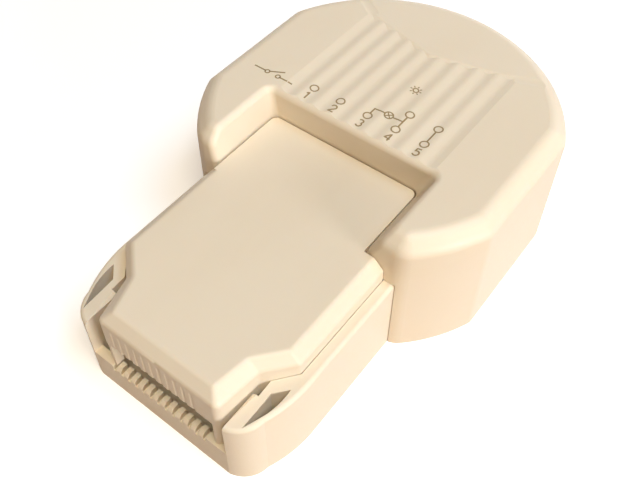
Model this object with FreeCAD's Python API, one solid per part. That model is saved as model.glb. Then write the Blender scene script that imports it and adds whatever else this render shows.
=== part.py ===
import FreeCAD, Part
import math
import os

# Control module for in-wall and ceiling wiring: a round head with two flats, a
# terminal tongue with a cable comb, and a lift-off cover over the terminals.
# Millimetres. X = 0 is the middle plane, the cables come in from -Y, and the
# flat underside lies on Z = 0. The origin is the centre of the head's front arcs.

# Head
head_radius = 27.0
head_flat_cut = 1.9
head_front = 20.3
head_stretch = 1.4
head_height = 23.0
head_wall = 1.8
head_roof = 2.0
head_chamfer = 2.0
head_soft = 2.2
head_corner = 3.2

# Notch in the head that takes the rear tab of the cover. Its left wall is nearly
# upright, and its right wall leans far out above the tab
notch_rear = 7.0
notch_left_floor = 14.2
notch_left_top = 15.2
notch_right_top = 14.9
notch_floor = 15.9
notch_ledge = 1.2
notch_ledge_right = 0.25
notch_wall = 1.5
notch_soft = 1.1

# Ribs on top of the head: a shallow wave whose long side falls to the right, and
# the faint furrow that goes on outwards from each end of it
groove_count = 9
groove_pitch = 3.056
groove_fall = 1.75
groove_depth = 0.2
groove_knee = 0.45
groove_ramp = 0.9
groove_end = 13.3
groove_end_slope = 0.25
furrow_half = 0.9
furrow_depth = 0.08
furrow_turns = ((1, 17.0, 20.5), (-1, 17.4, 33.0))

# Tongue of the base, with its rounded front corners; the bend and the corner are
# measured back from the tongue's end, and so are the rib, pocket and cover below
tongue_half = 17.1
tongue_end = 49.4
tongue_bend = 11.9
tongue_bulge = 0.45
corner_half = 15.5
corner_deep = 3.8
corner_bulge = 0.85
front_half = 12.0
front_wall = 1.4
rim = 14.0
rim_drop = 1.1
rim_soft = 0.6
sill = 5.9
floor = 1.6

# Rib inside each front corner, and the slot beside it for prying the cover up
rib_half = 12.0
rib_wall = 1.9
rib_bevel = 1.2
rib_bevel_deep = 0.5
pry_back = 8.2
pry_front = 5.8
pry_wide = 0.9
pry_deep = 5.0

# Pocket between the rib and the rounded corner
pocket_depth = 8.0
pocket_wall = 1.5
pocket_tip = 8.8
pocket_back = 7.0
pocket_front = 1.5
pocket_knee_half = 15.05
pocket_knee = 4.3
pocket_bulge = 0.25

# Comb on the sill, repeated as fine slots on the cover's front
tooth_count = 12
tooth_pitch = 1.37
comb_gap = 0.62
comb_depth = 1.2
comb_bevel = 0.5
slot_depth = 0.1
slot_radius = 0.6

# Terminal cover
cover_plate = 1.8
cover_skirt = 1.3
skirt_drop = 2.9
cover_bevel = 1.6
nose_back_left = 11.0
nose_back_right = 11.9
nose_left = 9.2
nose_right = 11.1
cover_soft = 1.0
cover_step_back = 11.2
cover_step_front = 7.2
cover_setback = 0.4
leg_wide = 1.2
tab_left = 14.05
tab_right = 11.95
tab_round = 1.1
tab_gap = 0.2

# Clearances, how far a cut reaches past the face that it opens, and when two edges touch
past = 1.0
slip = 0.1
shaft_fit = 0.05
rest_gap = 0.02
touch = 0.01

# Circuit board on the posts of the base
board_gap = 1.4
board_thick = 1.6
board_inset = 2.5
board_boss_gap = 0.3
post_radius = 1.9
post_places = ((19.0, 4.0), (-14.0, 17.0), (-19.5, -3.0), (9.0, 19.0))

# Screws that hold the base to the head
boss_radius = 2.4
boss_inset = 4.0
boss_angle = 27.5
boss_bore = 0.9
case_screw_radius = 0.85
case_screw_head = 1.7
case_screw_head_high = 1.0
case_screw_length = 9.0

# Terminals
pole_pitch = 5.0
bus_pole_count = 2
mains_pole_count = 3
block_inset = 1.3
block_deep = 8.6
block_high = 9.6
cell_half = 2.05
cell_front_wall = 1.3
cell_deep = 4.2
cell_bottom = 0.6
cell_top = 7.4
well_radius = 1.95
well_floor = 8.0
entry_half = 1.7
entry_low = 1.3
entry_high = 4.6
cage_half = 1.9
cage_deep = 3.8
cage_high = 4.6
cage_bar = 0.8
cage_plate = 0.9
cage_window_half = 1.35
strip_half = 1.1
strip_thick = 0.7
strip_leg_half = 0.5
strip_leg_back = 1.2
screw_radius = 1.3
screw_head_radius = 1.8
screw_head_high = 1.5
screw_slot = 0.5
screw_slot_deep = 0.8

# Relay
relay_x = 7.5
relay_y = -4.6
relay_wide = 10.0
relay_long = 20.0
relay_shell = 0.7
relay_round = 0.5
relay_plinth = 1.8
relay_room = 0.4
yoke_thick = 1.0
yoke_inset = 1.4
yoke_half = 3.4
coil_from_yoke = 5.4
coil_radius = 3.9
coil_high = 6.2
core_radius = 1.5
core_head = 0.3
flange_thick = 0.7
flange_half = 4.1
armature_gap = 0.6
armature_thick = 0.8
armature_long = 10.4
leaf_thick = 0.25
leaf_half = 1.6
leaf_start = 2.0
leaf_long = 15.6
button_radius = 1.0
button_high = 0.6
button_back = 1.3
contact_gap = 1.05
contact_blade = 0.5
relay_pin_half = 0.4
relay_pin_side = 3.1
relay_pin_rear = 2.2
relay_pin_front = 2.4

# Leads and feet of the parts on the board
lead_radius = 0.3
pin_below = 0.8
foot_high = 0.25
foot_half = 0.25
foot_out = 0.9

# Film capacitor: width, length, height, its wall distance and its rear end
film_size = (5.0, 12.5, 9.5)
film_side = 0.6
film_rear = 5.9
film_round = 0.5
film_lead_pitch = 10.0

# Electrolytic capacitor
can_radius = 5.0
can_high = 12.5
can_x = -7.5
can_y = 15.2
can_groove = 0.4
can_groove_at = 1.6
can_lead_pitch = 5.0

# Transformer
trafo_x = -7.5
trafo_y = 2.6
trafo_half = 6.0
trafo_thick_half = 2.1
trafo_high = 11.0
trafo_yoke = 1.6
trafo_leg_half = 1.6
bobbin_long_half = 5.2
bobbin_wall = 0.7
bobbin_foot = 1.6
winding_inset = 0.5
trafo_pin_pitch = 2.8

# Choke
choke_x = 3.2
choke_y = 16.35
choke_radius = 3.8
choke_core = 1.6
choke_high = 8.0
choke_flange = 1.0
choke_lead_pitch = 5.0

# Varistor
varistor_side = 3.2
varistor_y = 10.9
varistor_radius = 4.5
varistor_thick = 3.6
varistor_lift = 0.3
varistor_lead_pitch = 5.0
varistor_round = 1.0

# Fuse
fuse_x = 2.6
fuse_y = 3.0
fuse_size = (4.0, 8.4, 8.0)
fuse_lead_pitch = 5.08

# Flat parts: width, length, height
bridge_size = (4.2, 5.0, 2.5)
bridge_at = (-11.2, -7.0)
bridge_foot_pitch = 2.5
opto_size = (4.6, 4.4, 3.2)
opto_at = ((-2.6, -6.6), (3.4, -6.6))
opto_foot_pitch = 2.54
chip_size = (4.4, 5.0, 1.2)
chip_at = (3.6, 9.85)
chip_feet = 7
chip_foot_pitch = 0.65
chip_foot_half = 0.13

tongue_bend_y = tongue_bend - tongue_end
corner_y = corner_deep - tongue_end
step_back_y = cover_step_back - tongue_end
step_front_y = cover_step_front - tongue_end
cover_front_y = cover_setback - tongue_end
tongue_back_y = head_wall - head_front
head_flat = head_radius - head_flat_cut
head_roof_low = head_height - head_roof
cover_side = tongue_half - head_wall
cover_top = notch_floor + cover_plate
cover_skirt_low = rim - skirt_drop
board_low = floor + board_gap
board_top = board_low + board_thick
block_front = -(head_front - block_inset)
cell_front = block_front + cell_front_wall
pole_middle = cell_front + cell_deep / 2
strip_leg_y = cell_front + cell_deep + strip_leg_back
cage_low = board_top + cell_bottom + rest_gap
strip_low = cage_low + cage_high - cage_plate - rest_gap - strip_thick
screw_seat = board_top + well_floor + rest_gap
relay_floor = board_top + relay_plinth
relay_middle = relay_x + relay_wide / 2
yoke_back = relay_y + yoke_inset
coil_y = yoke_back + yoke_thick + coil_from_yoke
spool_low = relay_floor + yoke_thick
spool_top = spool_low + 2 * flange_thick + coil_high
core_top = spool_top + core_head
armature_low = core_top + armature_gap + rest_gap
leaf_low = armature_low + armature_thick
leaf_tip = yoke_back + leaf_long
button_y = leaf_tip - button_back
relay_top = leaf_low + leaf_thick + relay_room + relay_shell
film_x = -(head_flat - board_inset) + film_side
varistor_x = -(head_flat - board_inset) + varistor_side
pole_count = bus_pole_count + mains_pole_count
pole_places = [pole_pitch * (number - (pole_count - 1) / 2) for number in range(pole_count)]


def box(x0, x1, y0, y1, z0, z1):
    return Part.makeBox(x1 - x0, y1 - y0, z1 - z0, FreeCAD.Vector(x0, y0, z0))


def block(x, y, half_x, half_y, z0, z1):
    """Box about an upright middle line."""
    return box(x - half_x, x + half_x, y - half_y, y + half_y, z0, z1)


def rod(radius, x, y, z0, z1):
    return Part.makeCylinder(radius, z1 - z0, FreeCAD.Vector(x, y, z0))


def point(x, y, z=0.0):
    return FreeCAD.Vector(x, y, z)


def outline(corners):
    return Part.makePolygon(corners + corners[:1])


def prism(points, z0, z1):
    """Upright prism on a closed outline of straight sides."""
    face = Part.Face(outline([point(x, y, z0) for x, y in points]))
    return face.extrude(point(0, 0, z1 - z0))


def mirrored(points):
    """The right half of an outline, from rear to front, made whole."""
    return points + [(-x, y) for x, y in reversed(points)]


def other_side(shape):
    return shape.mirror(point(0, 0), point(1, 0))


def bulged(a, b, bulge):
    """Arc from a to b that stands off their chord by bulge, to the left of the way."""
    way = (b - a).normalize()
    return Part.Arc(a, (a + b) * 0.5 + point(way.y, -way.x) * -bulge, b)


def joined(shapes):
    return shapes[0].multiFuse(shapes[1:]) if len(shapes) > 1 else shapes[0]


def edges_where(shape, test):
    return [edge for edge in shape.Edges if test(edge.BoundBox)]


def export(name, shape):
    if len(shape.Solids) == 1:
        shape = shape.Solids[0]
    shape.exportStep("parts/" + name + ".step")


def head_outline(inset, z):
    """Face of the head's plan, drawn in by inset: arcs, two flats, and a straight front
    that turns into the arcs with a round corner."""
    radius = head_radius - inset
    flat = head_flat - inset
    front = -(head_front - inset)
    corner = head_corner - inset
    turn = math.sqrt(radius ** 2 - flat ** 2)
    rear = head_stretch + turn
    middle_x = math.sqrt((radius - corner) ** 2 - (front + corner) ** 2)
    lean = math.atan2(front + corner, middle_x)
    bend = (lean - math.pi / 2) / 2
    corner_mid = point(middle_x + corner * math.cos(bend), front + corner * (1 + math.sin(bend)), z)
    corner_end = point(radius * math.cos(lean), radius * math.sin(lean), z)
    side = (lean + math.atan2(-turn, flat)) / 2
    side_mid = point(radius * math.cos(side), radius * math.sin(side), z)
    right = [
        Part.Arc(point(middle_x, front, z), corner_mid, corner_end).toShape(),
        Part.Arc(corner_end, side_mid, point(flat, -turn, z)).toShape(),
        Part.LineSegment(point(flat, -turn, z), point(flat, rear, z)).toShape(),
    ]
    ends = [
        Part.LineSegment(point(-middle_x, front, z), point(middle_x, front, z)).toShape(),
        Part.Arc(point(flat, rear, z), point(0, head_stretch + radius, z), point(-flat, rear, z)).toShape(),
    ]
    return Part.Face(Part.Wire(Part.__sortEdges__(right + [other_side(edge) for edge in right] + ends)))


def head_prism(inset, z0, z1):
    return head_outline(inset, z0).extrude(point(0, 0, z1 - z0))


def head_block():
    """Outer form of the head: upright walls, bevelled top edge, every edge softened."""
    shoulder = head_height - head_chamfer
    walls = head_prism(0.0, 0.0, shoulder)
    outlines = [head_outline(0.0, shoulder), head_outline(head_chamfer, head_height)]
    cap = Part.makeLoft([face.OuterWire for face in outlines], True, True)
    whole = walls.fuse(cap).removeSplitter()
    return whole.makeFillet(head_soft, edges_where(whole, lambda b: b.ZMax > slip))


def notch_left(z):
    """Where the notch's left wall stands at a height."""
    lean = (notch_left_top - notch_left_floor) / (head_height - notch_floor)
    return -notch_left_floor - lean * (z - notch_floor)


def notch_right(z):
    """Where the notch's right wall stands at a height. It clears the tab's top edge."""
    lean = (notch_right_top - tab_right - tab_gap) / (head_height - cover_top)
    return tab_right + tab_gap + lean * (z - cover_top)


def notch_tool():
    """The notch, with its side walls leaning outwards."""
    above = head_height + past
    front = -head_front - past
    section = outline([
        point(notch_left(notch_floor), front, notch_floor),
        point(notch_right(notch_floor), front, notch_floor),
        point(notch_right(above), front, above),
        point(notch_left(above), front, above),
    ])
    return Part.Face(section).extrude(point(0, -notch_rear - front, 0))


def tab_room():
    """Upright room for the tab at the foot of the leaning right wall."""
    return box(0.0, tab_right + tab_gap, -head_front - past, -notch_rear, notch_floor, cover_top)


def knee(x, z, before, after):
    """Soft knee of the wave at a corner between two slopes, given as rise over run."""
    start = point(x - groove_knee, 0.0, z - groove_knee * before)
    middle = point(x, 0.0, z + groove_knee * (after - before) / 4)
    return start, middle, point(x + groove_knee, 0.0, z + groove_knee * after)


def groove_section():
    """Face over the wave: straight slopes joined by knees, from left to right, closed above."""
    half = groove_pitch * groove_count / 2
    fall = -groove_depth / groove_fall
    rise = groove_depth / (groove_pitch - groove_fall)
    above = head_height + past
    knees = []
    for number in range(groove_count):
        left = groove_pitch * number - half
        if number:
            knees.append(knee(left, head_height, rise, fall))
        knees.append(knee(left + groove_fall, head_height - groove_depth, fall, rise))
    last = point(-half - groove_knee, 0.0, head_height - groove_knee * fall)
    edges = [Part.LineSegment(point(last.x, 0.0, above), last)]
    for start, middle, end in knees:
        edges += [Part.LineSegment(last, start), Part.Arc(start, middle, end)]
        last = end
    right = point(half + groove_knee, 0.0, head_height + groove_knee * rise)
    edges += [
        Part.LineSegment(last, right),
        Part.LineSegment(right, point(right.x, 0.0, above)),
        Part.LineSegment(point(right.x, 0.0, above), point(-right.x, 0.0, above)),
    ]
    return Part.Face(Part.Wire([edge.toShape() for edge in edges]))


def groove_limit():
    """Space that the grooves may take: behind, they run out on a slope, along a V in plan."""
    bottom = head_height - groove_depth
    rear = groove_end + groove_end_slope * head_radius
    sections = []
    for z in (bottom - slip, head_height + past):
        back = groove_ramp * (z - bottom) / groove_depth
        corners = [(-head_radius, -head_radius), (head_radius, -head_radius),
                   (head_radius, rear + back), (0.0, groove_end + back), (-head_radius, rear + back)]
        sections.append(outline([point(x, y, z) for x, y in corners]))
    return Part.makeLoft(sections, True, True)


def groove_tool():
    start = -notch_rear - notch_wall
    section = groove_section()
    section.translate(point(0, start, 0))
    return section.extrude(point(0, head_radius - start, 0)).common(groove_limit())


def furrow_tool(side, y, turn):
    """Faint furrow from the outermost groove's rear end to the edge of the head."""
    radius = (furrow_half ** 2 + furrow_depth ** 2) / (2 * furrow_depth)
    x = groove_pitch * groove_count / 2 - furrow_half
    way = point(side * math.cos(math.radians(turn)), math.sin(math.radians(turn)))
    start = point(side * x, y, head_height - furrow_depth + radius)
    return Part.makeCylinder(radius, head_radius, start, way)


def boss_places():
    """Screw bosses: one behind, and one near each front shoulder of the head."""
    reach = head_radius - boss_inset
    side = reach * math.cos(math.radians(boss_angle))
    front = -reach * math.sin(math.radians(boss_angle))
    return [(0.0, head_stretch + reach), (side, front), (-side, front)]


def notch_casing():
    """Outside of the walls and the floor that stand round the notch."""
    low, high = notch_floor - notch_wall, head_height - head_chamfer
    left = -notch_left_top - notch_wall
    foot = tab_right + tab_gap + notch_wall
    section = outline([
        point(left, -head_front, low),
        point(foot, -head_front, low),
        point(foot, -head_front, cover_top),
        point(notch_right(high) + notch_wall, -head_front, high),
        point(left, -head_front, high),
    ])
    return Part.Face(section).extrude(point(0, head_front - notch_rear + notch_wall, 0))


def on_notch(edge):
    """Whether an edge lies on the notch's side walls or its rear wall, above its floor."""
    points = edge.discretize(3)
    left = all(abs(p.x - notch_left(p.z)) < touch for p in points)
    right = all(abs(p.x - notch_right(p.z)) < touch for p in points)
    rear = all(abs(p.y + notch_rear) < touch for p in points)
    return (left or right or rear) and edge.BoundBox.ZMax > notch_floor + slip


def head_shell():
    """Head housing: outer form, hollow below, notch with ledges, ribs and screw bosses."""
    hollow = head_prism(head_wall, -past, head_roof_low).cut(notch_casing())
    shell = head_block().cut(hollow)
    access = box(notch_ledge - notch_left_floor, tab_right + tab_gap - notch_ledge_right,
                 -head_front - past, -notch_rear - notch_ledge,
                 notch_floor - notch_wall - past, notch_floor + past)
    terminal_half = notch_left_floor - notch_ledge
    terminal_room = box(-terminal_half, terminal_half, -head_front - past, -notch_rear - notch_ledge,
                        notch_floor - notch_wall - past, notch_floor - notch_wall)
    doorway_half = tongue_half + slip
    doorway = box(-doorway_half, doorway_half, -head_front - past, -head_front + head_wall,
                  -past, rim + slip)
    shell = shell.cut(joined([notch_tool(), terminal_room, doorway]))
    shell = shell.makeFillet(notch_soft, [edge for edge in shell.Edges if on_notch(edge)])
    for tool in [access, tab_room(), groove_tool()] + [furrow_tool(side, y, turn) for side, y, turn in furrow_turns]:
        shell = shell.cut(tool)
    room = head_prism(head_wall / 2, 0.0, head_height)
    bosses = [rod(boss_radius, x, y, floor + slip, head_roof_low + slip).common(room)
              for x, y in boss_places()]
    bores = [rod(boss_bore, x, y, floor, floor + case_screw_length) for x, y in boss_places()]
    return joined([shell] + bosses).cut(joined(bores)).removeSplitter()


def tongue_block():
    """Tongue in full: straight sides that bend in and end in rounded corners."""
    side = point(tongue_half, tongue_bend_y)
    corner = point(corner_half, corner_y)
    front = point(front_half, -tongue_end)
    right = [
        Part.LineSegment(point(tongue_half, tongue_back_y), side).toShape(),
        bulged(side, corner, tongue_bulge).toShape(),
        bulged(corner, front, corner_bulge).toShape(),
    ]
    left = [other_side(edge) for edge in right]
    ends = [Part.LineSegment(front, point(-front_half, -tongue_end)).toShape(),
            Part.LineSegment(point(-tongue_half, tongue_back_y), point(tongue_half, tongue_back_y)).toShape()]
    wire = Part.Wire(Part.__sortEdges__(right + left + ends))
    return Part.Face(wire).extrude(point(0, 0, rim))


def rim_slope():
    """Cut that lets the rim fall towards the front."""
    section = outline([
        point(-head_radius, tongue_bend_y, rim),
        point(-head_radius, -tongue_end - past, rim - rim_drop),
        point(-head_radius, -tongue_end - past, rim + past),
        point(-head_radius, tongue_bend_y, rim + past),
    ])
    return Part.Face(section).extrude(point(2 * head_radius, 0, 0))


def wiring_room():
    """Space inside the tongue that the cover closes."""
    plan = mirrored([
        (cover_side + slip, tongue_back_y),
        (cover_side + slip, step_back_y),
        (rib_half, step_front_y),
        (rib_half, -tongue_end + front_wall),
    ])
    return prism(plan, floor, rim + past)


def pocket_tool():
    """Pocket between the straight rib and the rounded corner, pointed at its back."""
    inner = rib_half + rib_wall
    tip = point(tongue_half - pocket_wall, pocket_tip - tongue_end)
    front = point(inner, pocket_front - tongue_end)
    back = point(inner, pocket_back - tongue_end)
    knee = point(pocket_knee_half, pocket_knee - tongue_end)
    edges = [
        Part.LineSegment(front, back),
        Part.LineSegment(back, tip),
        bulged(tip, knee, pocket_bulge),
        Part.LineSegment(knee, front),
    ]
    face = Part.Face(Part.Wire([edge.toShape() for edge in edges]))
    face.translate(point(0, 0, rim - pocket_depth))
    return face.extrude(point(0, 0, pocket_depth + past))


def rib_tools():
    """Bevel on the rib's inner top edge, and the slot that a screwdriver tip goes into."""
    back = pry_back - tongue_end
    section = outline([
        point(rib_half - slip, back, rim - rib_bevel_deep - rim_drop / 2),
        point(rib_half + rib_bevel, back, rim),
        point(rib_half - slip, back, rim + slip),
    ])
    bevel = Part.Face(section).extrude(point(0, -pry_back, 0))
    slot = box(rib_half - slip, rib_half + pry_wide, pry_front - tongue_end, back, rim - pry_deep, rim + past)
    return [bevel, slot]


def comb_places():
    """Left edge of each gap between the comb's teeth."""
    first = -(tooth_pitch * tooth_count + comb_gap) / 2
    return [first + tooth_pitch * number for number in range(tooth_count + 1)]


def comb_tools():
    """Gaps between the comb's teeth, and the bevel on their front ends."""
    front = -tongue_end - past
    places = comb_places()
    tools = [box(x, x + comb_gap, front, -tongue_end + front_wall + slip, sill - comb_depth, sill + past)
             for x in places]
    section = outline([
        point(places[0], -tongue_end, sill - comb_bevel),
        point(places[0], -tongue_end + comb_bevel, sill),
        point(places[0], front, sill + past),
        point(places[0], front, sill - comb_bevel),
    ])
    tools.append(Part.Face(section).extrude(point(places[-1] - places[0], 0, 0)))
    return tools


def base_tray():
    """Base: floor under the head, tongue with walls, corner posts, comb and board posts."""
    tongue = tongue_block().cut(rim_slope())
    outer = edges_where(tongue, lambda b: b.ZMin > rim - rim_drop - slip and b.Center.y < tongue_back_y - slip
                        and abs(b.Center.x) > front_half)
    tongue = tongue.makeFillet(rim_soft, outer)
    right = [pocket_tool()] + rib_tools()
    mouth = box(-front_half, front_half, -tongue_end - past, -tongue_end + front_wall + slip,
                sill, rim + past)
    tools = [wiring_room(), mouth] + right + [other_side(tool) for tool in right] + comb_tools()
    tongue = tongue.cut(joined(tools))
    plate = head_prism(head_wall + slip, 0.0, floor)
    neck = box(-cover_side, cover_side, tongue_back_y - head_wall / 2, tongue_back_y + head_wall, 0.0, floor)
    posts = [rod(post_radius, x, y, floor - slip, board_low) for x, y in post_places]
    base = joined([plate, tongue, neck] + posts)
    holes = []
    for x, y in boss_places():
        holes.append(rod(case_screw_radius + slip, x, y, -past, floor + past))
        holes.append(rod(case_screw_head + slip, x, y, -past, case_screw_head_high))
    return base.cut(joined(holes)).removeSplitter()


def cover_plan(inset):
    """Plan of the cover's body, drawn in by inset. Its nose narrows towards the comb."""
    return [
        (cover_side - inset, -head_front - slip),
        (cover_side - inset, step_back_y),
        (nose_back_right - inset, step_front_y),
        (nose_right - inset, cover_front_y + inset),
        (inset - nose_left, cover_front_y + inset),
        (inset - nose_back_left, step_front_y),
        (inset - cover_side, step_back_y),
        (inset - cover_side, -head_front - slip),
    ]


def cover_tab():
    """Tab that fills the notch, rounded at its rear corners."""
    front = -head_front - past
    rear = -notch_rear - tab_gap
    tab = prism([(-tab_left, front), (tab_right, front), (tab_right, rear), (-tab_left, rear)],
                notch_floor + rest_gap, cover_top)
    corners = edges_where(tab, lambda b: b.ZLength > slip and b.YMin > rear - slip)
    return tab.makeFillet(tab_round, corners)


def cover_leg(x, side):
    """Leg that stands on the sill, rounded at its outer front edge."""
    leg = box(x, x + leg_wide, cover_front_y, cover_front_y + cover_skirt, sill + slip, cover_skirt_low + slip)
    corner = edges_where(leg, lambda b: b.ZLength > slip and b.YMax < cover_front_y + slip
                         and side * (b.Center.x - x - leg_wide / 2) > 0)
    return leg.makeFillet(cover_soft, corner)


def terminal_cover():
    """Cover: bevelled plate with a rear tab, a skirt round the wiring room and two legs."""
    shoulder = cover_top - cover_bevel
    rear = -head_front - slip
    body = prism(cover_plan(0.0), cover_skirt_low, shoulder)
    sections = [outline([point(x, y, z) for x, y in cover_plan(inset)])
                for inset, z in ((0.0, shoulder), (cover_bevel, cover_top))]
    block = body.fuse(Part.makeLoft(sections, True, True)).removeSplitter()
    block = block.makeFillet(cover_soft, edges_where(block, lambda b: b.ZMax > cover_skirt_low + slip
                                                     and b.YMin < rear - slip))
    room = prism(cover_plan(cover_skirt), cover_skirt_low - past, cover_top - cover_plate)
    rear_room = box(-cover_side + cover_skirt, cover_side - cover_skirt, -head_front - cover_skirt,
                    -head_front, cover_skirt_low - past, cover_top - cover_plate)
    legs = [cover_leg(-nose_left, -1), cover_leg(nose_right - leg_wide, 1)]
    cover = joined([block.cut(joined([room, rear_room])), cover_tab()] + legs)
    slots = [rod(slot_radius, x + comb_gap / 2, cover_front_y + slot_depth - slot_radius,
                 cover_skirt_low - past, shoulder - cover_soft) for x in comb_places()[1:-1]]
    return cover.cut(joined(slots)).removeSplitter()


def case_screws():
    """Three screws from below, through the base into the head's bosses."""
    screws = []
    for x, y in boss_places():
        head = rod(case_screw_head, x, y, slip, case_screw_head_high)
        shank = rod(case_screw_radius, x, y, slip, case_screw_length)
        slot = block(x, y, case_screw_head, screw_slot / 2, -past, screw_slot)
        screws.append(joined([head, shank]).cut(slot).removeSplitter())
    return Part.makeCompound(screws)


def relay_pin_places():
    """Two coil pins beside the yoke, and one beside each contact."""
    rear = relay_y + relay_pin_rear
    front = relay_y + relay_long - relay_pin_front
    return [(relay_middle + side * relay_pin_side, y) for y in (rear, front) for side in (-1, 1)]


def paired(x, y, pitch_x, pitch_y):
    """Two places, half a pitch to each side of a middle."""
    return [(x - pitch_x / 2, y - pitch_y / 2), (x + pitch_x / 2, y + pitch_y / 2)]


def film_leads():
    return paired(film_x + film_size[0] / 2, film_rear - film_size[1] / 2, 0.0, film_lead_pitch)


def can_leads():
    return paired(can_x, can_y, can_lead_pitch, 0.0)


def choke_leads():
    return paired(choke_x, choke_y, choke_lead_pitch, 0.0)


def varistor_leads():
    return paired(varistor_x + varistor_thick / 2, varistor_y, 0.0, varistor_lead_pitch)


def fuse_leads():
    return paired(fuse_x, fuse_y, 0.0, fuse_lead_pitch)


def trafo_pins():
    row = bobbin_long_half - bobbin_foot / 2
    return [(trafo_x + trafo_pin_pitch * step, trafo_y + side * row)
            for side in (-1, 1) for step in (-1, 0, 1)]


def circuit_board():
    """Board on the posts, cleared round the screw bosses and drilled for every lead."""
    cuts = [rod(boss_radius + board_boss_gap, x, y, board_low - past, board_top + past)
            for x, y in boss_places()]
    leg_hole = strip_leg_half + slip
    pin_hole = relay_pin_half + slip
    for x in pole_places:
        cuts.append(block(x, strip_leg_y, leg_hole, leg_hole, board_low - past, board_top + past))
    for x, y in relay_pin_places():
        cuts.append(block(x, y, pin_hole, pin_hole, board_low - past, board_top + past))
    places = film_leads() + can_leads() + choke_leads() + varistor_leads() + fuse_leads() + trafo_pins()
    cuts += [rod(lead_radius + slip, x, y, board_low - past, board_top + past) for x, y in places]
    return head_prism(board_inset, board_low, board_top).cut(joined(cuts))


def terminal_body(row):
    """Moulded body over a row of poles, with a cell, a screw well and a wire entry for each."""
    low = board_top
    body = box(row[0] - pole_pitch / 2, row[-1] + pole_pitch / 2,
               block_front, block_front + block_deep, low, low + block_high)
    leg = strip_leg_half + slip
    tools = []
    for x in row:
        tools.append(block(x, pole_middle, cell_half, cell_deep / 2, low + cell_bottom, low + cell_top))
        tools.append(box(x - entry_half, x + entry_half, block_front - past, pole_middle,
                         low + entry_low, low + entry_high))
        tools.append(rod(screw_radius + slip, x, pole_middle, low + cell_bottom, low + block_high))
        tools.append(rod(well_radius, x, pole_middle, low + well_floor, low + block_high + past))
        tools.append(box(x - strip_half - slip, x + strip_half + slip, pole_middle, strip_leg_y + leg,
                         strip_low - slip, strip_low + strip_thick + slip))
        tools.append(block(x, strip_leg_y, leg, leg, low - past, strip_low))
    return body.cut(joined(tools)).removeSplitter()


def contact_strips():
    """Strips that run through the cages and turn down through the board, one for each pole."""
    strips = []
    front = pole_middle - cage_deep / 2 + slip
    for x in pole_places:
        bar = box(x - strip_half, x + strip_half, front, strip_leg_y + strip_leg_half,
                  strip_low, strip_low + strip_thick)
        leg = block(x, strip_leg_y, strip_leg_half, strip_leg_half, board_low - pin_below, strip_low)
        strips.append(joined([bar, leg]).removeSplitter())
    return Part.makeCompound(strips)


def wire_clamp(x):
    """Cage that rises and presses the wire up against the strip. It stands open."""
    top = cage_low + cage_high
    cage = block(x, pole_middle, cage_half, cage_deep / 2, cage_low, top)
    window = block(x, pole_middle, cage_window_half, cage_deep, cage_low + cage_bar, top - cage_plate)
    bore = rod(screw_radius + shaft_fit, x, pole_middle, cage_low + cage_high / 2, top + past)
    return cage.cut(joined([window, bore]))


def terminal_screw(x):
    """Slotted screw: its head rests in the well and its tip stands just over the strip."""
    head_top = screw_seat + screw_head_high
    shank = rod(screw_radius, x, pole_middle, strip_low + strip_thick + rest_gap, head_top)
    head = rod(screw_head_radius, x, pole_middle, screw_seat, head_top)
    slot = block(x, pole_middle, screw_head_radius, screw_slot / 2,
                 head_top - screw_slot_deep, head_top + past)
    return joined([shank, head]).cut(slot).removeSplitter()


def relay_base():
    """Plinth that closes the relay's case below and holds its pins."""
    inset = relay_shell + slip
    low = board_top + rest_gap
    plinth = box(relay_x + inset, relay_x + relay_wide - inset,
                 relay_y + inset, relay_y + relay_long - inset, low, relay_floor)
    half = relay_pin_half + rest_gap
    return plinth.cut(joined([block(x, y, half, half, low - past, relay_floor + past)
                              for x, y in relay_pin_places()]))


def relay_case():
    low = board_top + rest_gap
    outer = box(relay_x, relay_x + relay_wide, relay_y, relay_y + relay_long, low, relay_top)
    inner = box(relay_x + relay_shell, relay_x + relay_wide - relay_shell,
                relay_y + relay_shell, relay_y + relay_long - relay_shell,
                low - past, relay_top - relay_shell)
    outer = outer.makeFillet(relay_round, edges_where(outer, lambda b: b.ZMax > relay_floor))
    return outer.cut(inner)


def relay_pins():
    """Four pins that end just under the top of the plinth."""
    return Part.makeCompound([block(x, y, relay_pin_half, relay_pin_half, board_low - pin_below,
                                    relay_floor - slip) for x, y in relay_pin_places()])


def relay_yoke():
    """L of soft iron: a foot under the coil and an upright whose edge carries the armature."""
    foot = box(relay_middle - yoke_half, relay_middle + yoke_half, yoke_back, coil_y + coil_radius,
               relay_floor, spool_low)
    upright = box(relay_middle - yoke_half, relay_middle + yoke_half, yoke_back, yoke_back + yoke_thick,
                  relay_floor, armature_low - rest_gap)
    bore = rod(core_radius, relay_middle, coil_y, relay_floor - past, spool_low + past)
    return joined([foot, upright]).removeSplitter().cut(bore)


def relay_core():
    return rod(core_radius, relay_middle, coil_y, relay_floor, core_top)


def relay_bobbin():
    """Spool on the core: a tube between two square flanges."""
    flanges = [block(relay_middle, coil_y, flange_half, flange_half, z, z + flange_thick)
               for z in (spool_low, spool_top - flange_thick)]
    tube = rod(core_radius + flange_thick, relay_middle, coil_y, spool_low, spool_top)
    bore = rod(core_radius, relay_middle, coil_y, spool_low - past, spool_top + past)
    return joined(flanges + [tube]).cut(bore).removeSplitter()


def relay_winding():
    low = spool_low + flange_thick
    high = spool_top - flange_thick
    winding = rod(coil_radius, relay_middle, coil_y, low, high)
    return winding.cut(rod(core_radius + flange_thick, relay_middle, coil_y, low - past, high + past))


def relay_armature():
    """Iron plate lying across the yoke's edge, over the core."""
    return box(relay_middle - yoke_half, relay_middle + yoke_half, yoke_back, yoke_back + armature_long,
               armature_low, leaf_low)


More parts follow.
